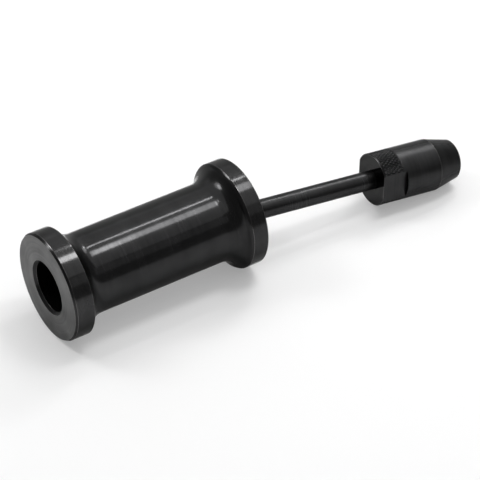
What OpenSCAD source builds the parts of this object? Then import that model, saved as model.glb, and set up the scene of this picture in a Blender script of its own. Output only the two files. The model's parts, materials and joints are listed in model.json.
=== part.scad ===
// Slide hammer puller, lying on a table.
// A spool-shaped steel weight slides on a thin rod. The rod's stop travels in the weight's bore and
// strikes a seat against the end wall. The rod's far end carries a chuck with three jaws.
// The weight lies along X with its open mouth at the low X end. The rod leans down and a little to
// the side, until the chuck rests on the table at Z = 0.

/* [Weight] */
// Outer diameter of both flanges
flange_d = 55; // [52:0.5:60]
// Overall length of the weight
weight_len = 108.5; // [104:0.5:116]
// Width of the flange at the open end, up to the start of its fillet
rim_w = 10.6; // [8:0.1:13]
// Width of the flange at the rod's end, up to the start of its fillet
far_rim_w = 9.6; // [8:0.1:13]
// Diameter of the grip between the flanges
grip_d = 41.1; // [37:0.1:44]
// Radius of the fillets between the grip and the flanges
fillet_r = 10.8; // [8:0.1:13]
// Depth of the long chamfers, on the edges of both flanges that face the open end
rim_chamfer = 0.8; // [0.3:0.1:1.5]
// Length of those chamfers along the weight
rim_chamfer_len = 1.2; // [0.5:0.1:2]
// Chamfer on the inner edge of the flange at the open end
rim_back_chamfer = 0.4; // [0.2:0.1:1.5]
// Chamfer on the outer edge of the flange at the rod's end
far_rim_chamfer = 0.5; // [0.3:0.1:1.5]
// Diameter of the long bore that the stop travels in
bore_d = 25.5; // [25:0.1:28]
// Chamfer at the mouth of the bore
mouth_chamfer = 1.4; // [0.5:0.1:2.5]
// Thickness of the wall at the end of the bore
end_wall = 12; // [10:0.5:14]
// Diameter of the rod's hole through that wall
rod_hole_d = 17; // [16.9:0.1:18]
// Chamfer where the rod's hole leaves the end face
rod_hole_chamfer = 0.8; // [0.3:0.1:1.5]

/* [Rod and stop] */
// Diameter of the rod
rod_d = 10; // [9:0.1:10.2]
// Chamfer on both ends of the rod
rod_chamfer = 0.8; // [0.3:0.1:1.5]
// Visible length of the rod, from the weight's end face to the chuck
rod_show = 78.3; // [60:0.1:78.5]
// Distance from the weight's end face in to the centre that the rod tilts about
pivot_depth = 19.3; // [19:0.1:20]
// Radius of the ball-shaped washer
ball_r = 11; // [10.6:0.1:11.4]
// Thickness of the seat ring against the end wall
seat_t = 4; // [3:0.1:4.5]
// Distance from the ball's centre forward to the ball washer's front face
ball_front = 8; // [6:0.1:8.4]
// Distance from the ball's centre back to the ball washer's rear face
ball_back = 0.5; // [0.3:0.1:2]
// Width of the stop nut across its flats
nut_af = 17; // [16:0.5:18]
// Height of the stop nut
nut_h = 9; // [7:0.5:9.5]
// Chamfer on the corners of the stop nut
nut_chamfer = 1; // [0.4:0.1:1.5]
// How far the rod's end stands out of the stop nut
rod_stub = 1.5; // [1:0.1:2]
// Outer diameter of the spring pin through the stop nut
pin_d = 2.5; // [2:0.1:3]
// Wall of the spring pin
pin_wall = 0.5; // [0.3:0.1:0.6]
// Width of the slot along the spring pin
pin_slot = 0.4; // [0.2:0.1:0.6]
// How far each end of the spring pin lies below the nut's flats
pin_inset = 0.2; // [0.1:0.1:0.5]

/* [Chuck] */
// Diameter of the chuck
chuck_d = 27.3; // [27:0.1:29]
// Length of the chuck's straight part
chuck_body_len = 34.4; // [34:0.1:36]
// Length of the tapered nose
nose_len = 14.5; // [13.5:0.1:16]
// Diameter at the nose's small end
nose_end_d = 20.9; // [19:0.1:22]
// Chamfer on the nose's outer edge
nose_chamfer = 0.7; // [0.3:0.1:1.2]
// Chamfer round the chuck's rear face
chuck_chamfer = 0.5; // [0.2:0.1:1]
// Width across the two wrench flats
flats_af = 23; // [21:0.5:25]
// Length of the wrench flats
flats_len = 13.7; // [10:0.1:16]
// Fine chamfer on both sides of the seam between body and nose
seam_chamfer = 0.15; // [0.05:0.05:0.3]
// Length of the chamber that holds the jaws, from its shoulder to the seam with the nose
chamber_len = 10.4; // [10:0.1:11]
// Inner diameter of that chamber
chamber_d = 20; // [19.8:0.1:20.4]
// Diameter of the nose's threaded spigot
spigot_d = 23.5; // [23:0.1:24]
// Length of the nose's threaded spigot
spigot_len = 7; // [5:0.5:8]
// Half angle of the cone that closes the jaws
cone_angle = 15; // [14.5:0.5:16]
// Diameter of the nose's mouth
mouth_d = 11.2; // [10.8:0.1:11.6]
// Length of the straight mouth at the nose's end
mouth_len = 1.6; // [1:0.1:2.5]

/* [Jaws] */
// Diameter that the open jaws leave for the pin to be pulled
grip_open_d = 6.2; // [5.6:0.1:6.6]
// Travel of the chuck along the rod, from open to closed
chuck_travel = 4.5; // [3:0.1:4.6]
// Gap between neighbouring jaws when they are closed
jaw_gap = 0.5; // [0.3:0.1:0.8]
// Thickness of the thrust disc behind the jaws
disc_t = 3; // [2.5:0.1:3.5]
// Diameter of the thrust disc
disc_d = 17.4; // [16.4:0.1:17.5]
// Width of the keys that guide the jaws across the thrust disc
key_w = 3; // [2:0.1:4]
// Height of those keys
key_h = 1.2; // [0.8:0.1:1.5]
// How far the open jaws' tips lie inside the nose
tip_inset = 0.8; // [0.3:0.1:1.5]
// Outer diameter of the small springs between the jaws
spring_d = 2.2; // [1.8:0.1:2.4]
// Wire diameter of those springs
spring_wire = 0.4; // [0.3:0.05:0.45]
// Number of coils in each of them
spring_turns = 6; // [4:1:7]
// Depth of the pocket in each jaw that holds a spring's end
pocket_depth = 1.6; // [1:0.1:1.8]
// Thickness of the retaining ring on the rod's tip
ring_t = 1; // [0.8:0.1:1.2]
// Outer diameter of the retaining ring
ring_d = 13.8; // [13:0.1:15]
// Depth of the retaining ring's groove in the rod
groove_depth = 0.4; // [0.3:0.05:0.5]
// Distance from the retaining ring to the rod's tip
ring_to_tip = 1.5; // [1:0.1:2]

/* [Pose and fits] */
// Sideways lean of the rod, towards the low Y side, in degrees
side_lean = 3; // [0:0.1:3.5]
// Turn of the chuck about the rod, in degrees
chuck_turn = -7; // [-45:1:45]
// Radial clearance of running fits
run_fit = 0.05; // [0.03:0.01:0.08]
// Small end gap between parts that bear on each other
end_gap = 0.1; // [0.05:0.05:0.2]
// Clearance between the jaws and the cone, and between the ring and the chuck's shoulder
free_gap = 0.2; // [0.15:0.05:0.3]

/* [Hidden] */
$fn = 96;

// One overrun serves all cuts
overrun = 1;
JAWS = 3;
HEX = 6;

// Weight
flange_r = flange_d / 2;
grip_r = grip_d / 2;
function fillet_run(edge_r) = sqrt(pow(fillet_r, 2) - pow(fillet_r - edge_r + grip_r, 2));
waist_x0 = rim_w + fillet_run(flange_r - rim_back_chamfer);
waist_x1 = weight_len - far_rim_w - fillet_run(flange_r - rim_chamfer);

// Rod, measured along its own axis from the centre it tilts about
rod_r = rod_d / 2;
chuck_s = pivot_depth + rod_show;
nose_s = chuck_s + chuck_body_len;
shoulder_s = nose_s - chamber_len;
nut_s = -ball_back - end_gap - nut_h;
rod_s0 = nut_s - rod_stub;
ring_s = shoulder_s + free_gap;
rod_s1 = ring_s + ring_t + ring_to_tip;
ring_r = rod_r - groove_depth;
ring_opening = 70;
ball_seat_r = ball_r + end_gap;

// Chuck, measured along the same axis
chuck_r = chuck_d / 2;
chuck_end_s = nose_s + nose_len;
nose_end_r = nose_end_d / 2;
spigot_s = nose_s - spigot_len;
chamber_r = chamber_d / 2;
mouth_r = mouth_d / 2;
cone_end_s = chuck_end_s - mouth_len;
cone_start_s = cone_end_s - (chamber_r - mouth_r) / tan(cone_angle);

// Jaws: shaped for the closed chuck, then moved out and back to the open one
jaw_travel = chuck_travel * tan(cone_angle);
disc_s = rod_s1 + end_gap;
jaw_s0 = disc_s + disc_t + end_gap;
jaw_s1 = chuck_end_s - tip_inset;
jaw_tip_r = mouth_r - free_gap - jaw_travel;
grip_open_r = grip_open_d / 2;
spring_place_share = 0.25;
spring_s = jaw_s0 + (jaw_s1 - jaw_s0) * spring_place_share;
spring_offset = grip_open_r + spring_d + free_gap;
jaw_open_gap = jaw_gap + 2 * jaw_travel * sin(180 / JAWS);
pocket_r = spring_d / 2 + free_gap / 2;
spring_len = jaw_open_gap + 2 * (pocket_depth - end_gap);
spring_rise = (spring_len - spring_wire) / spring_turns;

// The rod leans until the chuck's widest edge rests on the table
rest_s = nose_s + seam_chamfer;
droop = asin(flange_r / norm([rest_s, chuck_r])) - atan2(chuck_r, rest_s);
lean_cos = cos(droop) * cos(side_lean);

// The origin is on the table, under the middle of the whole tool
tip_x = chuck_end_s * lean_cos + (nose_end_r - nose_chamfer) * sqrt(1 - pow(lean_cos, 2));
pivot_x = weight_len - pivot_depth;
overall_len = pivot_x + tip_x;
mid_x = overall_len / 2;

echo(droop = droop, mid_x = mid_x, pivot_x = pivot_x - mid_x, overall = overall_len);
echo(chuck_s = chuck_s, jaw_s0 = jaw_s0, jaw_s1 = jaw_s1, jaw_travel = jaw_travel);
echo(gap_between_spring_turns = spring_rise - spring_wire);

module on_weight() {
  translate([-mid_x, 0, flange_r])
    rotate([0, 90, 0])
      children();
}

module on_rod() {
  translate([pivot_x - mid_x, 0, flange_r])
    rotate([chuck_turn, droop, -side_lean])
      rotate([0, 90, 0])
        children();
}

// A cylinder with a chamfer at each end
module chamfered_rod(r, h, low, high) {
  rotate_extrude()
    polygon([
      [0, 0],
      [r - low, 0],
      [r, low],
      [r, h - high],
      [r - high, h],
      [0, h]
    ]);
}

// A bore from Z = 0 up, with a 45 degree chamfer at its upper end
module chamfered_bore(r, h, chamfer) {
  cylinder(r = r, h = h + overrun);
  translate([0, 0, h - chamfer])
    cylinder(r1 = r, r2 = r + chamfer + overrun, h = chamfer + overrun);
}

// The hollow between the flanges, with its two fillets
module waist() {
  rotate_extrude() {
    translate([grip_r, waist_x0])
      square([flange_r + overrun - grip_r, waist_x1 - waist_x0]);
    for (x = [waist_x0, waist_x1])
      translate([grip_r + fillet_r, x])
        circle(r = fillet_r);
  }
}

// Both flanges in one outline, with their four chamfers
module flanges() {
  far_rim_x = weight_len - far_rim_w;
  rotate_extrude()
    polygon([
      [0, 0],
      [flange_r - rim_chamfer, 0],
      [flange_r, rim_chamfer_len],
      [flange_r, rim_w - rim_back_chamfer],
      [flange_r - rim_back_chamfer, rim_w],
      [flange_r - rim_chamfer, far_rim_x],
      [flange_r, far_rim_x + rim_chamfer_len],
      [flange_r, weight_len - far_rim_chamfer],
      [flange_r - far_rim_chamfer, weight_len],
      [0, weight_len]
    ]);
}

module weight() {
  color([0.16, 0.16, 0.17])
    on_weight()
      difference() {
        flanges();
        waist();
        translate([0, 0, weight_len - end_wall])
          mirror([0, 0, 1])
            chamfered_bore(bore_d / 2, weight_len - end_wall, mouth_chamfer);
        translate([0, 0, weight_len - end_wall - overrun])
          chamfered_bore(rod_hole_d / 2, end_wall + overrun, rod_hole_chamfer);
      }
}

// The ring that lies against the end wall and carries the ball washer in a hollow ball seat
module seat_ring() {
  color([0.42, 0.42, 0.43])
    on_weight()
      difference() {
        translate([0, 0, weight_len - end_wall - end_gap - seat_t])
          cylinder(r = bore_d / 2 - run_fit, h = seat_t);
        translate([0, 0, pivot_x])
          sphere(r = ball_seat_r);
        translate([0, 0, pivot_x])
          cylinder(r = rod_hole_d / 2, h = weight_len);
      }
}

module ball_washer() {
  color([0.46, 0.46, 0.47])
    on_rod()
      difference() {
        intersection() {
          sphere(r = ball_r);
          translate([0, 0, -ball_back])
            cylinder(r = ball_r, h = ball_back + ball_front);
        }
        translate([0, 0, -ball_back - overrun])
          cylinder(r = rod_r + run_fit, h = ball_back + ball_front + 2 * overrun);
      }
}

module rod() {
  color([0.18, 0.18, 0.19])
    on_rod()
      difference() {
        translate([0, 0, rod_s0])
          chamfered_rod(rod_r, rod_s1 - rod_s0, rod_chamfer, rod_chamfer);
        translate([0, 0, ring_s - end_gap / 2])
          difference() {
            cylinder(r = rod_r + overrun, h = ring_t + end_gap);
            cylinder(r = ring_r, h = ring_t + end_gap);
          }
        cross_hole();
      }
}

// The hole for the spring pin, through the nut and the rod
module cross_hole() {
  translate([0, 0, nut_s + nut_h / 2])
    rotate([90, 0, 0])
      cylinder(r = pin_d / 2 + run_fit, h = nut_af + 2 * overrun, center = true);
}

module stop_nut() {
  color([0.5, 0.5, 0.51])
    on_rod()
      difference() {
        intersection() {
          translate([0, 0, nut_s])
            cylinder(r = nut_af / 2 / cos(180 / HEX), h = nut_h, $fn = HEX);
          translate([0, 0, nut_s])
            chamfered_rod(nut_af / 2 / cos(180 / HEX), nut_h, nut_chamfer, nut_chamfer);
        }
        translate([0, 0, nut_s - overrun])
          cylinder(r = rod_r + run_fit, h = nut_h + 2 * overrun);
        cross_hole();
      }
}

module spring_pin() {
  color([0.6, 0.6, 0.61])
    on_rod()
      translate([0, 0, nut_s + nut_h / 2])
        rotate([90, 0, 0])
          difference() {
            cylinder(r = pin_d / 2, h = nut_af - 2 * pin_inset, center = true);
            cylinder(r = pin_d / 2 - pin_wall, h = nut_af + overrun, center = true);
            translate([pin_d / 2, 0, 0])
              cube([pin_d, pin_slot, nut_af + overrun], center = true);
          }
}

// The straight part of the chuck: knurled band, wrench flats, threaded hole and chamber
module chuck_body() {
  color([0.15, 0.15, 0.16])
    on_rod()
      difference() {
        translate([0, 0, chuck_s])
          chamfered_rod(chuck_r, chuck_body_len, chuck_chamfer, seam_chamfer);
        for (side = [-1, 1])
          translate([-chuck_r, side * flats_af - flats_af / 2, chuck_s - overrun])
            cube([chuck_d, flats_af, flats_len + overrun]);
        translate([0, 0, chuck_s - overrun])
          cylinder(r = rod_r + run_fit, h = shoulder_s - chuck_s + 2 * overrun);
        translate([0, 0, shoulder_s])
          cylinder(r = chamber_r, h = chuck_body_len);
        translate([0, 0, spigot_s])
          cylinder(r = spigot_d / 2 + run_fit, h = spigot_len + overrun);
      }
}

// The tapered nose, screwed into the body, with the cone that closes the jaws
module nose_cap() {
  color([0.17, 0.17, 0.18])
    on_rod()
      difference() {
        rotate_extrude()
          polygon([
            [0, spigot_s],
            [spigot_d / 2, spigot_s],
            [spigot_d / 2, nose_s],
            [chuck_r - seam_chamfer, nose_s],
            [chuck_r, nose_s + seam_chamfer],
            [nose_end_r, chuck_end_s - nose_chamfer],
            [nose_end_r - nose_chamfer, chuck_end_s],
            [0, chuck_end_s]
          ]);
        rotate_extrude()
          polygon([
            [0, spigot_s - overrun],
            [chamber_r, spigot_s - overrun],
            [chamber_r, cone_start_s],
            [mouth_r, cone_end_s],
            [mouth_r, chuck_end_s + overrun],
            [0, chuck_end_s + overrun]
          ]);
      }
}

// The open ring in the rod's groove, which keeps the chuck from being screwed off
module retaining_ring() {
  color([0.55, 0.55, 0.56])
    on_rod()
      translate([0, 0, ring_s])
        rotate_extrude(angle = 360 - ring_opening)
          translate([ring_r + run_fit, 0])
            square([ring_d / 2 - ring_r - run_fit, ring_t]);
}

// The disc between the rod's tip and the jaws, with three slots for the jaws' keys
module thrust_disc() {
  color([0.52, 0.52, 0.53])
    on_rod()
      difference() {
        translate([0, 0, disc_s])
          cylinder(r = disc_d / 2, h = disc_t);
        for (i = [0 : JAWS - 1])
          rotate([0, 0, i * 360 / JAWS])
            translate([grip_open_r - jaw_travel, -key_w / 2 - run_fit, disc_s + disc_t - key_h])
              cube([disc_d, key_w + 2 * run_fit, key_h + overrun]);
      }
}

// One jaw, shaped for the closed chuck, with its middle along local +X
module closed_jaw() {
  jaw_r = chamber_r - jaw_travel - free_gap;
  difference() {
    union() {
      intersection() {
        rotate_extrude()
          polygon([
            [0, jaw_s0],
            [jaw_r, jaw_s0],
            [jaw_r, cone_end_s - (jaw_r - jaw_tip_r) / tan(cone_angle)],
            [jaw_tip_r, cone_end_s],
            [jaw_tip_r, jaw_s1],
            [0, jaw_s1]
          ]);
        jaw_wedge();
      }
      translate([grip_open_r, -key_w / 2, jaw_s0 - key_h + end_gap])
        cube([jaw_r - grip_open_r - free_gap, key_w, key_h + overrun]);
    }
    translate([-jaw_travel, 0, jaw_s0 - overrun])
      cylinder(r = grip_open_r, h = jaw_s1 - jaw_s0 + 2 * overrun);
    for (side = [-1, 1])
      rotate([0, 0, side * 180 / JAWS])
        translate([spring_offset - jaw_travel * cos(180 / JAWS), 0, spring_s])
          rotate([90, 0, 0])
            cylinder(r = pocket_r, h = jaw_gap + 2 * pocket_depth, center = true);
  }
}

// The third of the round that one jaw fills, drawn in by half the gap on each side
module jaw_wedge() {
  intersection_for(side = [-1, 1])
    rotate([0, 0, side * 180 / JAWS])
      translate([0, side > 0 ? -chuck_d - jaw_gap / 2 : jaw_gap / 2, jaw_s0 - overrun])
        translate([-chuck_d, 0, 0])
          cube([2 * chuck_d, chuck_d, jaw_s1 - jaw_s0 + 2 * overrun]);
}

module jaw(i) {
  color([0.48, 0.48, 0.49])
    on_rod()
      rotate([0, 0, i * 360 / JAWS])
        translate([jaw_travel, 0, 0])
          closed_jaw();
}

module jaw_1() {
  jaw(0);
}

module jaw_2() {
  jaw(1);
}

module jaw_3() {
  jaw(2);
}

// One small coil spring as an unbroken tube, between jaw i and the next
RINGS_PER_TURN = 8;
TUBE_SIDES = 6;
function coil_point(a, r) = [r * cos(a), r * sin(a), spring_rise * a / 360];
function coil_ring(a, r) = [
  for (k = [0 : TUBE_SIDES - 1])
    let (q = k * 360 / TUBE_SIDES)
      coil_point(a, r + spring_wire / 2 * cos(q)) + [0, 0, spring_wire / 2 * sin(q)]
];

module coil() {
  steps = spring_turns * RINGS_PER_TURN;
  r = (spring_d - spring_wire) / 2;
  points = [
    for (j = [0 : steps])
      for (p = coil_ring(j * 360 / RINGS_PER_TURN, r))
        p + [0, 0, (spring_wire - spring_len) / 2]
  ];
  sides = [
    for (j = [0 : steps - 1])
      for (k = [0 : TUBE_SIDES - 1])
        let (
          a = j * TUBE_SIDES + k,
          b = j * TUBE_SIDES + (k + 1) % TUBE_SIDES
        )
          each [[a, b, b + TUBE_SIDES], [a, b + TUBE_SIDES, a + TUBE_SIDES]]
  ];
  caps = [
    for (k = [1 : TUBE_SIDES - 2])
      each [
        [0, k + 1, k],
        [steps * TUBE_SIDES, steps * TUBE_SIDES + k, steps * TUBE_SIDES + k + 1]
      ]
  ];
  polyhedron(points = points, faces = concat(sides, caps));
}

module jaw_spring(i) {
  color([0.62, 0.62, 0.63])
    on_rod()
      rotate([0, 0, (i + 0.5) * 360 / JAWS])
        translate([spring_offset, 0, spring_s])
          rotate([90, 0, 0])
            coil();
}

module jaw_spring_1() {
  jaw_spring(0);
}

module jaw_spring_2() {
  jaw_spring(1);
}

module jaw_spring_3() {
  jaw_spring(2);
}

weight();
seat_ring();
ball_washer();
rod();
stop_nut();
spring_pin();
chuck_body();
nose_cap();
retaining_ring();
thrust_disc();
jaw_1();
jaw_2();
jaw_3();
jaw_spring_1();
jaw_spring_2();
jaw_spring_3();
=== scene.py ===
import json
import math

import bmesh
import bpy
from mathutils import Matrix, Vector


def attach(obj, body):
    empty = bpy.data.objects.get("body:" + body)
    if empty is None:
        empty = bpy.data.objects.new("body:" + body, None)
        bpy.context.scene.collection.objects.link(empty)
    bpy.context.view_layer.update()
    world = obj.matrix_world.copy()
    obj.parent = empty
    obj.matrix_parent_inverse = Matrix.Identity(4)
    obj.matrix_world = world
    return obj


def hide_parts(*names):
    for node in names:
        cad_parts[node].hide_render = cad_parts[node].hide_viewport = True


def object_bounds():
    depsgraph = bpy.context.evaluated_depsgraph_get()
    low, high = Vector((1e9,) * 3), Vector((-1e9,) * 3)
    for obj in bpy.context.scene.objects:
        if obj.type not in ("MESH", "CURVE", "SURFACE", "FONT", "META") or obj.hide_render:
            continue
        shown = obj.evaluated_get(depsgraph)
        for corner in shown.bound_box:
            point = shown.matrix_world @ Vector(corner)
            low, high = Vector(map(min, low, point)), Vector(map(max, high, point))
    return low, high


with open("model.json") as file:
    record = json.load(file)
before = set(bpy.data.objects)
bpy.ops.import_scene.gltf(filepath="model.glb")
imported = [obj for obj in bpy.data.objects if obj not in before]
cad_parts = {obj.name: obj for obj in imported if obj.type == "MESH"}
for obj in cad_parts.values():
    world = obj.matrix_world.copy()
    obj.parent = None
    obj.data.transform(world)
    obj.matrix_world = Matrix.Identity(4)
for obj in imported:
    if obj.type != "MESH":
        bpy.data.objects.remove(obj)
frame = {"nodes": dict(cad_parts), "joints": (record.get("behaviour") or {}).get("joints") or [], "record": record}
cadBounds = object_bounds()
scene = bpy.context.scene
mm = 0.001
joints = {joint["name"]: joint for joint in frame["joints"]}
mounts = {mount["name"]: mount for mount in frame["record"]["mounts"]}
print("frame loaded:", len(frame["nodes"]), "solids")


class Socket:  # one output of a node, with arithmetic
    def __init__(self, graph, node, key=0):
        self.graph, self.node, self.link = graph, node, node.outputs[key]

    def out(self, key):
        return Socket(self.graph, self.node, key)

    def math(self, operation, *others):
        inputs = dict(enumerate((self, *others)))
        return self.graph.make("ShaderNodeMath", {"operation": operation}, inputs)

    def clamp(self):
        return self.graph.make("ShaderNodeClamp", None, {0: self})

    def __add__(self, other):
        return self.math("ADD", other)

    def __sub__(self, other):
        return self.math("SUBTRACT", other)

    def __mul__(self, other):
        return self.math("MULTIPLY", other)

    def __truediv__(self, other):
        return self.math("DIVIDE", other)

    def __rsub__(self, other):
        return self.graph.make("ShaderNodeMath", {"operation": "SUBTRACT"}, {0: other, 1: self})


class Graph:  # a node tree that is being filled
    def __init__(self, tree):
        self.tree = tree

    def make(self, kind, settings=None, inputs=None):
        made = self.tree.nodes.new(kind)
        for key, value in (settings or {}).items():
            setattr(made, key, value)
        for key, value in (inputs or {}).items():
            if isinstance(value, Socket):
                self.tree.links.new(value.link, made.inputs[key])
            else:
                made.inputs[key].default_value = value
        return Socket(self, made) if len(made.outputs) else made


weightPlace = {
    "open end": cadBounds[0][0],  # X of the open end face
    "height": 27.5 * mm,  # of the weight's axis over the table
}
weightMatrix = Matrix.Translation((weightPlace["open end"], 0, weightPlace["height"]))


def axesAt(place, *axes):  # a matrix with these three axes, at this place
    return Matrix.Translation(place) @ Matrix(axes).transposed().to_4x4()


# local X runs along the rod, local Z stands on the wrench flats
pivot = Vector(joints["rod_tilt"]["pos_m"])
rodAxis = Vector(joints["rod_spin"]["axis"]).normalized()
sideAxis = Vector(mounts["wrench_flats"]["axis"]).cross(rodAxis).normalized()
flatsAxis = rodAxis.cross(sideAxis)
rodMatrix = axesAt(pivot, rodAxis, flatsAxis.cross(rodAxis), flatsAxis)


def arc(centre, radius, start, end, steps):  # angles in degrees
    turns = [math.radians(start + (end - start) * i / steps) for i in range(steps + 1)]
    s, r = centre
    return [(s + radius * math.cos(turn), r + radius * math.sin(turn), 0.0) for turn in turns]


rounding = {
    "steps": 3,  # on each rounded corner
    "reach": 0.45,  # share of an edge that one corner may take
    "middle": 0.5,  # share of an edge up to which a corner may have a plain point beside it
    "beside": 1.5,  # how far out that point lies, in sizes of the corner
    "least": 0.2,  # the distance under which it is left out, in the same
}


# rounds each corner (s, r, size) of a profile; the third number of a point is 1 on a worn corner
def softened(corners, closed=False):
    v, points = rounding, []
    for i, (s, r, size) in enumerate(corners):
        if size == 0 or (not closed and i in (0, len(corners) - 1)):
            points.append((s, r, 0.0))
            continue
        here = Vector((s, r))
        back = Vector(corners[i - 1][:2]) - here
        ahead = Vector(corners[(i + 1) % len(corners)][:2]) - here
        bend = (math.pi - back.angle(ahead)) / 2
        cut = min(size * math.tan(bend), back.length * v["reach"], ahead.length * v["reach"])
        radius = cut / math.tan(bend)
        start, end = here + back.normalized() * cut, here + ahead.normalized() * cut
        inward = (back.normalized() + ahead.normalized()).normalized()
        centre = here + inward * radius / math.cos(bend)
        edges = (back.length, ahead.length)
        spare = [min(size * v["beside"], edge * v["middle"] - cut) for edge in edges]
        if spare[0] > size * v["least"]:
            points.append((*(start + back.normalized() * spare[0]), 0.0))
        for k in range(v["steps"] + 1):
            mixed = (start - centre).lerp(end - centre, k / v["steps"])
            points.append((*(centre + mixed.normalized() * radius), 1.0))
        if spare[1] > size * v["least"]:
            points.append((*(end + ahead.normalized() * spare[1]), 0.0))
    return points


turning = {
    "row nudge": 1e-4,  # keeps a whole number of rows from rounding down
    "side guard": 1e-6,  # keeps the flats' reach from dividing by zero
    "merge": 2e-6,  # m
    "least edge": 1e-7,  # m
    "sharp": 38,  # degrees; steeper edges stay sharp
    "groove start": 0.22,  # share of the way from a diamond's middle to its border
    "groove slope": 0.72,  # share of that way over which the groove gets its depth
    "run-out": 0.25,  # pitches over which the knurl starts and ends
    "outside": 0.98,  # share of the outer radius from which a row is knurled
}


# turns a profile, whose points hold (s, r, wear), about the X axis
# flats and a knurl are cut on request
def turnedTree(v):
    tree = bpy.data.node_groups.new("turned piece", "GeometryNodeTree")
    for name, kind, value in (
        ("Profile", "Geometry", None),
        ("Segments", "Int", 192),
        ("Flats half width", "Float", 0.0),
        ("Flats end", "Float", -1.0),
        ("Outer radius", "Float", 1.0),
        ("Knurl start", "Float", 0.0),
        ("Knurl end", "Float", 0.0),
        ("Knurl pitch", "Float", 1.0),
        ("Knurl count", "Int", 40),
        ("Knurl depth", "Float", 0.0),
        ("Material", "Material", None),
    ):
        socket = tree.interface.new_socket(name, in_out="INPUT", socket_type="NodeSocket" + kind)
        if value is not None:
            socket.default_value = value
    tree.interface.new_socket("Piece", in_out="OUTPUT", socket_type="NodeSocketGeometry")
    g = Graph(tree)
    given = g.make("NodeGroupInput")

    source = given.out("Profile")
    rows = g.make("GeometryNodeAttributeDomainSize", {"component": "MESH"}, {0: source})
    columns = given.out("Segments") + 1
    grid = g.make("GeometryNodeMeshGrid", None, {"Vertices X": rows, "Vertices Y": columns})
    index = g.make("GeometryNodeInputIndex")
    row = (index / columns + v["row nudge"]).math("FLOOR")
    turn = (index - row * columns) / given.out("Segments") * math.tau
    point = g.make(
        "GeometryNodeSampleIndex",
        {"data_type": "FLOAT_VECTOR", "domain": "POINT"},
        {"Geometry": source, "Value": g.make("GeometryNodeInputPosition"), "Index": row},
    )
    profile = g.make("ShaderNodeSeparateXYZ", None, {0: point})
    along, radius, wear = profile, profile.out(1), profile.out(2)

    tilt = turn.math("COSINE").math("ABSOLUTE") + v["side guard"]
    reach = given.out("Flats half width") / tilt
    behind = along.math("LESS_THAN", given.out("Flats end"))
    onFlats = behind * reach.math("LESS_THAN", radius)
    planed = onFlats * reach + (1 - onFlats) * radius

    # two crossing sets of grooves, which run out at both ends of their band
    around = turn / math.tau * given.out("Knurl count")
    down = (along - given.out("Knurl start")) / given.out("Knurl pitch")
    ways = (around + down, around - down)
    ridges = [(way.math("FRACT") - 0.5).math("ABSOLUTE") * 2 for way in ways]
    border = ridges[0].math("MAXIMUM", ridges[1])
    groove = ((border - v["groove start"]) / v["groove slope"]).clamp()
    runOut = given.out("Knurl pitch") * v["run-out"]
    start = ((along - given.out("Knurl start")) / runOut).clamp()
    end = ((given.out("Knurl end") - along) / runOut).clamp()
    outside = radius.math("GREATER_THAN", given.out("Outer radius") * v["outside"])
    final = planed - given.out("Knurl depth") * groove * start * end * outside * (1 - onFlats)

    side, up = final * turn.math("SINE"), final * turn.math("COSINE")
    place = g.make("ShaderNodeCombineXYZ", None, {0: along, 1: side, 2: up})
    shaped = g.make("GeometryNodeSetPosition", None, {"Geometry": grid, "Position": place})
    marked = g.make(
        "GeometryNodeStoreNamedAttribute",
        {"data_type": "FLOAT", "domain": "POINT"},
        {"Geometry": shaped, "Name": "worn", "Value": wear},
    )
    near = {"Geometry": marked, "Distance": v["merge"]}
    merged = g.make("GeometryNodeMergeByDistance", None, near)
    smooth = g.make(
        "GeometryNodeSetShadeSmooth", None, {"Geometry": merged, "Shade Smooth": True}
    )
    real = g.make("GeometryNodeRealizeInstances", None, {"Geometry": smooth})
    dressed = g.make(
        "GeometryNodeSetMaterial", None, {"Geometry": real, "Material": given.out("Material")}
    )
    g.make("NodeGroupOutput", None, {"Piece": dressed})
    return tree


turned = turnedTree(turning)
turnedInputs = {
    item.name: item.identifier
    for item in turned.interface.items_tree
    if item.in_out == "INPUT"
}


def turnPiece(name, profile, values, material, matrix):  # the profile is in millimetres
    mesh = bpy.data.meshes.new(name)
    points = [(s * mm, r * mm, wear) for s, r, wear in profile]
    mesh.from_pydata(points, [(i, i + 1) for i in range(len(points) - 1)], [])
    piece = bpy.data.objects.new(name, mesh)
    scene.collection.objects.link(piece)
    modifier = piece.modifiers.new("turned", "NODES")
    modifier.node_group = turned
    for key, value in {**values, "Material": material}.items():
        modifier[turnedInputs[key]] = value
    bpy.context.view_layer.update()
    depsgraph = bpy.context.evaluated_depsgraph_get()
    made = bpy.data.meshes.new_from_object(piece.evaluated_get(depsgraph))
    piece.modifiers.clear()
    work = bmesh.new()
    work.from_mesh(made)
    bmesh.ops.dissolve_degenerate(work, edges=work.edges, dist=turning["least edge"])
    bmesh.ops.recalc_face_normals(work, faces=work.faces)
    work.to_mesh(made)
    work.free()
    made.set_sharp_from_angle(angle=math.radians(turning["sharp"]))
    made.transform(matrix)
    piece.data = made
    print(name, "turned:", len(made.polygons), "faces")
    return piece


def newMaterial(name):
    material = bpy.data.materials.new(name)
    material.use_nodes = True
    material.node_tree.nodes.clear()
    return material, Graph(material.node_tree)


# Object coordinates turned so that X runs along the piece's own axis, in millimetres
def pieceCoordinates(g, matrix):
    back = matrix.inverted()
    whole = g.make("ShaderNodeTexCoord").out("Object")
    local = g.make(
        "ShaderNodeMapping",
        {"vector_type": "POINT"},
        {"Vector": whole, "Location": back.translation, "Rotation": back.to_euler()},
    )
    return g.make("ShaderNodeVectorMath", {"operation": "SCALE"}, {0: local, "Scale": 1 / mm})


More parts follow.
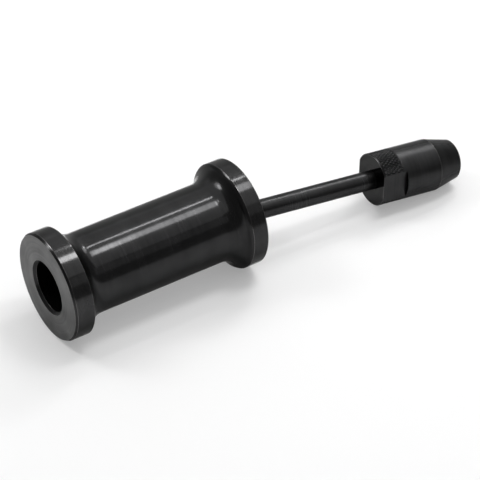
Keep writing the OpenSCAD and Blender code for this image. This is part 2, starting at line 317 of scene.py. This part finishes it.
# coordinates that change along the axis and outward from it, and hardly round it
# reach: the radius in millimetres up to which they change outward
def ringCoordinates(g, place, v, reach=None):
    split = g.make("ShaderNodeSeparateXYZ", None, {0: place})
    along, side, up = split, split.out(1), split.out(2)
    outward = (side * side + up * up).math("SQRT")
    if reach is not None:
        outward = outward.math("MINIMUM", reach)
    turn = along + outward * v["ring slant"]
    blur = v["ring blur"]
    return along, g.make("ShaderNodeCombineXYZ", None, {0: turn, 1: side * blur, 2: up * blur})


def noise(g, vector, scale, detail):
    inputs = {"Vector": vector, "Scale": scale, "Detail": detail}
    return g.make("ShaderNodeTexNoise", None, inputs)


def blend(g, factor, first, second):
    pair = [shade if isinstance(shade, Socket) else (*shade, 1) for shade in (first, second)]
    inputs = {0: factor, 6: pair[0], 7: pair[1]}
    return g.make("ShaderNodeMix", {"data_type": "RGBA"}, inputs).out(2)


def scaled(colour, part):
    return [channel * part for channel in colour]


blackFinish = {
    "colour": (0.0225, 0.0225, 0.023),  # reflectance of the oxide
    "worn colour": (0.34, 0.335, 0.33),
    "edge tint": 0.25,  # share of the reflectance that is left at a grazing view
    "dark part": 0.6,  # of the colour, in the dark bands
    "light part": 1.4,
    "roughness": 0.13,
    "cloud roughness": 0.08,
    "ring roughness": 0.04,
    "oil": 0.95,
    "oil least": 0.8,  # share of the oil that is everywhere
    "oil spread": 0.4,  # share that comes and goes
    "oil roughness": 0.42,
    "oil ior": 1.2,
    "fine rings": 0.3,  # mm from ring to ring
    "wide rings": 1.3,
    "ring slant": 1.37,  # how fast the rings go by outward, against along
    "ring blur": 0.04,  # how much a ring changes round the axis
    "ring depth": 0.0004,  # mm
    "wide depth": 4,  # ring depths
    "ring contrast": 1.0,
    "ring reach": 1000.0,  # mm; the radius up to which an end face shows rings
    "cloud scale": 0.11,  # per mm
    "grain scale": 4.0,
    "grain depth": 0.0008,  # mm
    "wear start": 0.45,  # grain at which the wear sets in
    "wear contrast": 3.0,
    "wear spread": 0.5,
    "wear least": 0.15,
    "face end": -1000.0,  # mm along the axis; the end face before it is ground
    "face colour": (0.2, 0.2, 0.2),
    "face roughness": 0.3,
    "face oil": 0.7,
}


# turned steel with an oiled black oxide finish
def blackSteel(name, matrix, **changes):
    v = {**blackFinish, **changes}
    material, g = newMaterial(name)
    place = pieceCoordinates(g, matrix)
    along, ringed = ringCoordinates(g, place, v, v["ring reach"])
    fine = noise(g, ringed, 1 / v["fine rings"], 2.0)
    wide = noise(g, ringed, 1 / v["wide rings"], 2.0)
    cloud = noise(g, place, v["cloud scale"], 4.0)
    grain = noise(g, place, v["grain scale"], 2.0)
    rings = fine * v["ring depth"] + wide * v["ring depth"] * v["wide depth"]
    height = rings + grain * v["grain depth"]
    bump = g.make("ShaderNodeBump", None, {"Strength": 1.0, "Distance": mm, "Height": height})
    worn = g.make("ShaderNodeAttribute", {"attribute_name": "worn"}).out("Fac")
    patches = ((grain - v["wear start"]) * v["wear contrast"]).clamp()
    wear = worn * (patches * v["wear spread"] + v["wear least"])
    bands = ((wide - 0.5) * v["ring contrast"] + cloud).clamp()
    onFace = along.math("LESS_THAN", v["face end"])
    tints = [
        blend(g, onFace, scaled(v["colour"], part), scaled(v["face colour"], part))
        for part in (v["dark part"], v["light part"])
    ]
    uneven = (cloud - 0.5) * v["cloud roughness"] + (fine - 0.5) * v["ring roughness"]
    smoother = onFace * (v["face roughness"] - v["roughness"])
    film = onFace * (v["face oil"] - v["oil"]) + v["oil"]
    shader = g.make(
        "ShaderNodeBsdfPrincipled",
        None,
        {
            "Base Color": blend(g, wear, blend(g, bands, *tints), v["worn colour"]),
            "Roughness": uneven + v["roughness"] + smoother,
            "Metallic": 1.0,
            "Specular Tint": (*[v["edge tint"]] * 3, 1),
            "Coat Weight": (cloud * v["oil spread"] + v["oil least"]) * film,
            "Coat Roughness": v["oil roughness"],
            "Coat IOR": v["oil ior"],
            "Normal": bump,
        },
    )
    g.make("ShaderNodeOutputMaterial", None, {"Surface": shader})
    return material


brightFinish = {
    "ring slant": 1.37,
    "ring blur": 0.05,
    "ring scale": 6.0,  # per mm
    "ring depth": 0.002,  # mm
    "ring roughness": 0.12,
    "cloud scale": 0.4,  # per mm
    "dark part": 0.8,  # of the colour, between the clouds
    "light part": 1.15,
}


# ground or drawn steel
def brightSteel(name, matrix, colour, roughness):
    v = brightFinish
    material, g = newMaterial(name)
    place = pieceCoordinates(g, matrix)
    _, ringed = ringCoordinates(g, place, v)
    lines = noise(g, ringed, v["ring scale"], 2.0)
    cloud = noise(g, place, v["cloud scale"], 3.0)
    height = lines * v["ring depth"]
    bump = g.make("ShaderNodeBump", None, {"Strength": 1.0, "Distance": mm, "Height": height})
    shades = [scaled(colour, part) for part in (v["dark part"], v["light part"])]
    shader = g.make(
        "ShaderNodeBsdfPrincipled",
        None,
        {
            "Base Color": blend(g, cloud, *shades),
            "Metallic": 1.0,
            "Roughness": (lines - 0.5) * v["ring roughness"] + roughness,
            "Normal": bump,
        },
    )
    g.make("ShaderNodeOutputMaterial", None, {"Surface": shader})
    return material


weightSteel = blackSteel("weight black steel", weightMatrix, **{"face end": 0.02})
rodSteel = blackSteel("rod black steel", rodMatrix, **{"roughness": 0.26})
chuckSteel = blackSteel(
    "chuck black steel",
    rodMatrix,
    **{
        "roughness": 0.32,
        "ring reach": 10.9,
        "face end": 97.65,
        "face colour": (0.05, 0.05, 0.05),
        "face roughness": 0.05,
        "face oil": 0.1,
    },
)
noseSteel = blackSteel("nose black steel", rodMatrix, **{"roughness": 0.4})
groundSteel = brightSteel("ground steel", rodMatrix, (0.36, 0.355, 0.35), 0.30)
springSteel = brightSteel("spring steel", rodMatrix, (0.30, 0.30, 0.31), 0.35)
print("materials made")

weightSize = {  # mm
    "flange": 27.5,
    "length": 108.5,
    "rim": 10.6,
    "far rim": 9.6,
    "grip": 20.55,
    "fillet": 10.8,
    "chamfer": 0.8,
    "chamfer length": 1.2,
    "back chamfer": 0.4,
    "far chamfer": 0.5,
    "bore": 12.75,
    "mouth chamfer": 1.4,
    "end wall": 12.0,
    "rod hole": 8.5,
    "hole chamfer": 0.8,
    "edge": 0.12,
    "open rim wear": 0.09,  # share of a corner's wear
    "far rim wear": 0.04,
    "rim slack": 0.01,  # how far below the flanges' radius a point still counts as theirs
    "fillet steps": 18,
    "grip steps": 12,
    "segments": 256,
}


def weightProfile(v):
    e, length, flange = v["edge"], v["length"], v["flange"]
    centre, farRim, steps = v["grip"] + v["fillet"], length - v["far rim"], v["grip steps"]
    rises = [flange - v["back chamfer"] - v["grip"], flange - v["chamfer"] - v["grip"]]
    tops = [math.degrees(math.acos(1 - rise / v["fillet"])) for rise in rises]
    runs = [v["fillet"] * math.sin(math.radians(top)) for top in tops]
    left, right = v["rim"] + runs[0], farRim - runs[1]
    points = softened(
        [
            (0, v["bore"] + v["mouth chamfer"], 0),
            (0, flange - v["chamfer"], e),
            (v["chamfer length"], flange, e),
            (v["rim"] - v["back chamfer"], flange, e),
            (v["rim"], flange - v["back chamfer"], 0),
        ]
    )[1:]
    points += arc((left, centre), v["fillet"], 270 - tops[0], 270, v["fillet steps"])[1:]
    points += [(left + (right - left) * i / steps, v["grip"], 0.0) for i in range(1, steps)]
    points += arc((right, centre), v["fillet"], 270, 270 + tops[1], v["fillet steps"])
    points += softened(
        [
            (farRim, flange - v["chamfer"], 0),
            (farRim + v["chamfer length"], flange, e),
            (length - v["far chamfer"], flange, e),
            (length, flange - v["far chamfer"], e),
            (length, v["rod hole"] + v["hole chamfer"], e),
            (length - v["hole chamfer"], v["rod hole"], e),
            (length - v["end wall"], v["rod hole"], e),
            (length - v["end wall"], v["bore"], e * 2),
            (v["mouth chamfer"], v["bore"], e),
            (0, v["bore"] + v["mouth chamfer"], e),
            (0, flange - v["chamfer"], 0),
        ]
    )[1:-1]
    for i, (s, r, wear) in enumerate(points):
        if flange - r < v["rim slack"]:
            least = v["open rim wear"] if s < length / 2 else v["far rim wear"]
            points[i] = (s, r, max(wear, least))
    return points + points[:1]


weightPiece = turnPiece(
    "weightTurned",
    weightProfile(weightSize),
    {"Segments": weightSize["segments"]},
    weightSteel,
    weightMatrix,
)
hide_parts("weight")
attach(weightPiece, "weight")

rodSize = {  # mm, from the pivot
    "radius": 5.0,
    "start": -11.1,
    "end": 124.3,
    "chamfer": 0.8,
    "groove": 121.75,
    "groove end": 122.85,
    "groove radius": 4.6,
    "edge": 0.1,
    "segments": 96,
}


def rodProfile(v):
    e = v["edge"]
    return softened(
        [
            (v["start"], 0, 0),
            (v["start"], v["radius"] - v["chamfer"], e),
            (v["start"] + v["chamfer"], v["radius"], e),
            (v["groove"], v["radius"], e / 2),
            (v["groove"], v["groove radius"], e / 2),
            (v["groove end"], v["groove radius"], e / 2),
            (v["groove end"], v["radius"], e / 2),
            (v["end"] - v["chamfer"], v["radius"], e),
            (v["end"], v["radius"] - v["chamfer"], e),
            (v["end"], 0, 0),
        ]
    )


rodPiece = turnPiece(
    "rodTurned", rodProfile(rodSize), {"Segments": rodSize["segments"]}, rodSteel, rodMatrix
)
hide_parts("rod")
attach(rodPiece, "rod")

chuckSize = {  # mm, from the pivot
    "start": 97.6,
    "length": 34.4,
    "radius": 13.65,
    "rear chamfer": 0.5,
    "seam": 0.15,
    "flats half": 11.5,
    "flats": 13.7,
    "thread": 5.05,
    "chamber length": 10.4,
    "chamber": 10.0,
    "socket": 11.8,
    "socket length": 7.0,
    "knurl length": 12.2,
    "knurl count": 46,
    "knurl pitch": 2.95,
    "knurl depth": 0.62,
    "edge": 0.1,
    "rear ring": 0.6,  # how far inside the flats the rear face's inner ring ends
    "rows": 12,  # of points in a knurl's pitch
    "row slack": 0.05,  # the least distance from the last row to the flats' end
    "step rows": (-0.004, 0.004, 0.3),  # rows at the flats' end, from that end
    "plain start": 1.0,  # from the flats' end
    "segments": 480,
}


def chuckProfile(v):
    e = v["edge"]
    rear, flatsEnd, front = v["start"], v["start"] + v["flats"], v["start"] + v["length"]
    inner = v["flats half"] - v["rear ring"]
    points = softened(
        [
            (rear, v["thread"], 0),
            (rear, inner, 0),
            (rear, v["radius"] - v["rear chamfer"], e),
            (rear + v["rear chamfer"], v["radius"], 0),
        ]
    )[1:]
    step = v["knurl pitch"] / v["rows"]
    s = rear + v["rear chamfer"] + step
    while s < flatsEnd - v["row slack"]:
        points.append((s, v["radius"], 0.0))
        s += step
    points += [(flatsEnd + gap, v["radius"], 0.0) for gap in v["step rows"]]
    points += softened(
        [
            (flatsEnd + v["plain start"], v["radius"], 0),
            (front - v["seam"], v["radius"], e / 2),
            (front, v["radius"] - v["seam"], e / 2),
            (front, v["socket"], e / 2),
            (front - v["socket length"], v["socket"], e),
            (front - v["socket length"], v["chamber"], e),
            (front - v["chamber length"], v["chamber"], e),
            (front - v["chamber length"], v["thread"], e),
            (rear, v["thread"], e),
            (rear, inner, 0),
        ]
    )[:-1]
    return points + points[:1]


chuckPiece = turnPiece(
    "chuckTurned",
    chuckProfile(chuckSize),
    {
        "Segments": chuckSize["segments"],
        "Flats half width": chuckSize["flats half"] * mm,
        "Flats end": (chuckSize["start"] + chuckSize["flats"]) * mm,
        "Outer radius": chuckSize["radius"] * mm,
        "Knurl start": (chuckSize["start"] + chuckSize["rear chamfer"]) * mm,
        "Knurl end": (chuckSize["start"] + chuckSize["knurl length"]) * mm,
        "Knurl pitch": chuckSize["knurl pitch"] * mm,
        "Knurl count": chuckSize["knurl count"],
        "Knurl depth": chuckSize["knurl depth"] * mm,
    },
    chuckSteel,
    rodMatrix,
)
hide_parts("chuck_body")
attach(chuckPiece, "chuck")

noseSize = {  # mm
    "length": 14.5,
    "end radius": 10.45,
    "chamfer": 0.7,
    "spigot": 11.75,
    "cone start": 128.479,
    "mouth": 5.6,
    "mouth length": 1.6,
    "edge": 0.1,
    "segments": 192,
}


def noseProfile(v, chuck):
    e = v["edge"]
    seam = chuck["start"] + chuck["length"]
    rear, tip = seam - chuck["socket length"], seam + v["length"]
    points = softened(
        [
            (rear, v["spigot"], e),
            (seam, v["spigot"], e / 2),
            (seam, chuck["radius"] - chuck["seam"], e / 2),
            (seam + chuck["seam"], chuck["radius"], e / 2),
            (tip - v["chamfer"], v["end radius"], e * 2),
            (tip, v["end radius"] - v["chamfer"], e),
            (tip, v["mouth"], e * 2),
            (tip - v["mouth length"], v["mouth"], e),
            (v["cone start"], chuck["chamber"], e),
            (rear, chuck["chamber"], e),
        ],
        closed=True,
    )
    return points + points[:1]


nosePiece = turnPiece(
    "noseTurned",
    noseProfile(noseSize, chuckSize),
    {"Segments": noseSize["segments"]},
    noseSteel,
    rodMatrix,
)
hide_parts("nose_cap")
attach(nosePiece, "chuck")

solidFinish = {  # the smaller solids keep their own shapes
    "seat_ring": groundSteel,
    "ball_washer": groundSteel,
    "stop_nut": rodSteel,
    "spring_pin": springSteel,
    "retaining_ring": springSteel,
    "thrust_disc": groundSteel,
    "jaw_1": groundSteel,
    "jaw_2": groundSteel,
    "jaw_3": groundSteel,
    "jaw_spring_1": springSteel,
    "jaw_spring_2": springSteel,
    "jaw_spring_3": springSteel,
}
for name, finish in solidFinish.items():
    for slot in frame["nodes"][name].material_slots:
        slot.material = finish
print("solids finished")

camera = {
    "turn": -33.102,  # degrees round the tool
    "height": 39.2,  # degrees over the table
    "distance": 1168.76,  # mm
    "aim": (97.69, 0.0, 27.5),  # mm, from the weight's open end
    "offset": (-9.846, 10.857),  # mm, of the picture's middle
    "focal": 2371.39,  # pixels
    "picture": 480,  # pixels across
    "sensor": 36,  # mm across
    "clip end": 20,  # m
}


def addCamera(v):
    turn, height = math.radians(v["turn"]), math.radians(v["height"])
    right = Vector((math.cos(turn), math.sin(turn), 0))
    away, rise = math.cos(height), math.sin(height)
    back = Vector((math.sin(turn) * away, -math.cos(turn) * away, rise))
    up = back.cross(right)
    aim = Vector(v["aim"]) * mm + Vector((weightPlace["open end"], 0, 0))
    place = aim + (back * v["distance"] - right * v["offset"][0] - up * v["offset"][1]) * mm
    data = bpy.data.cameras.new("camera")
    data.sensor_width = v["sensor"]
    data.lens = v["focal"] * v["sensor"] / v["picture"]
    data.clip_end = v["clip end"]
    made = bpy.data.objects.new("camera", data)
    scene.collection.objects.link(made)
    made.matrix_world = axesAt(place, right, up, back)
    scene.camera = made


addCamera(camera)

studio = {
    "world": 0.18,
    "table colour": 0.85,
    "table glow": 0.3,  # share of plain white that the camera sees
    "table gleam": 0.08,  # the same for shiny and clear surfaces
    "table size": 8.0,  # m
    "middle": (0.07, 0, 0.03),  # m, of the tool, from the table under the weight's open end
}
# toward: direction from the tool's middle; size in m along and across; radiance 1 shows as white
lamps = {
    "ceiling": {
        "toward": (0.2, 0.14, 0.97),
        "distance": 1.6,
        "size": (2.8, 3.8),
        "radiance": 0.74,
    },
    "backWall": {
        "toward": (0.4, 0.85, 0.3),
        "distance": 1.8,
        "size": (2.6, 0.9),
        "radiance": 0.85,
    },
    "frontCard": {
        "toward": (0.4, -0.74, 0.5),
        "distance": 2.4,
        "size": (2.6, 0.7),
        "radiance": 0.3,
    },
    "broadStrip": {
        "toward": (0.41, -0.08, 0.91),
        "distance": 1.0,
        "size": (0.2, 0.24),
        "radiance": 7.8,
    },
    "broadStripEnd": {
        "toward": (0.285, -0.105, 0.953),
        "distance": 1.01,
        "size": (0.12, 0.19),
        "radiance": 17.0,
    },
    "overhead": {
        "toward": (0.09, -0.06, 0.99),
        "distance": 1.0,
        "size": (0.12, 0.14),
        "radiance": 8.0,
        "shape": "ELLIPSE",
    },
    "thinStrip": {
        "toward": (0.393, 0.26, 0.883),
        "distance": 1.0,
        "size": (0.175, 0.05),
        "radiance": 24.0,
    },
    "thinStripTip": {
        "toward": (0.62, 0.365, 0.69),
        "distance": 1.1,
        "size": (0.16, 0.03),
        "radiance": 40.0,
    },
    "noseLamp": {
        "toward": (0.68, 0.30, 0.67),
        "distance": 1.1,
        "size": (0.3, 0.3),
        "radiance": 6.0,
    },
    "windowMiddle": {
        "toward": (-0.49, 0.49, 0.72),
        "distance": 1.1,
        "size": (0.19, 0.27),
        "radiance": 9.0,
    },
    "window": {
        "toward": (-0.46, 0.55, 0.70),
        "distance": 1.1,
        "size": (0.42, 0.4),
        "radiance": 3.0,
        "shape": "ELLIPSE",
    },
}


def addLamp(name, v):
    toward = Vector(v["toward"]).normalized()
    along = (Vector((1, 0, 0)) - toward * toward.x).normalized()
    data = bpy.data.lights.new(name, "AREA")
    data.shape = v.get("shape", "RECTANGLE")
    data.size, data.size_y = v["size"]
    data.energy = v["radiance"] * math.pi * v["size"][0] * v["size"][1]
    lamp = bpy.data.objects.new(name, data)
    scene.collection.objects.link(lamp)
    x, y, z = studio["middle"]
    place = Vector((weightPlace["open end"] + x, y, z)) + toward * v["distance"]
    lamp.matrix_world = axesAt(place, along, toward.cross(along), toward)


for name, values in lamps.items():
    addLamp(name, values)

world = bpy.data.worlds.new("studio")
world.use_nodes = True
world.node_tree.nodes.clear()
g = Graph(world.node_tree)
light = g.make("ShaderNodeBackground", None, {"Color": (1, 1, 1, 1), "Strength": studio["world"]})
g.make("ShaderNodeOutputWorld", None, {"Surface": light})
scene.world = world

tableMaterial, g = newMaterial("pale table")
rays = g.make("ShaderNodeLightPath")
shiny = (rays.out("Is Glossy Ray") + rays.out("Is Transmission Ray")).clamp()
seen = rays.out("Is Camera Ray") * studio["table glow"] + shiny * studio["table gleam"]
paper = g.make("ShaderNodeBsdfDiffuse", None, {"Color": (*[studio["table colour"]] * 3, 1)})
glow = g.make("ShaderNodeEmission", None, {"Color": (1, 1, 1, 1), "Strength": 1.0})
surface = g.make("ShaderNodeMixShader", None, {0: seen, 1: paper, 2: glow})
g.make("ShaderNodeOutputMaterial", None, {"Surface": surface})
tableMesh = bpy.data.meshes.new("table")
half = studio["table size"] / 2
corners = [(-half, -half, 0), (half, -half, 0), (half, half, 0), (-half, half, 0)]
tableMesh.from_pydata(corners, [], [(0, 1, 2, 3)])
tableMesh.materials.append(tableMaterial)
table = bpy.data.objects.new("table", tableMesh)
scene.collection.objects.link(table)
scene.view_settings.view_transform = "Standard"
print("studio set")
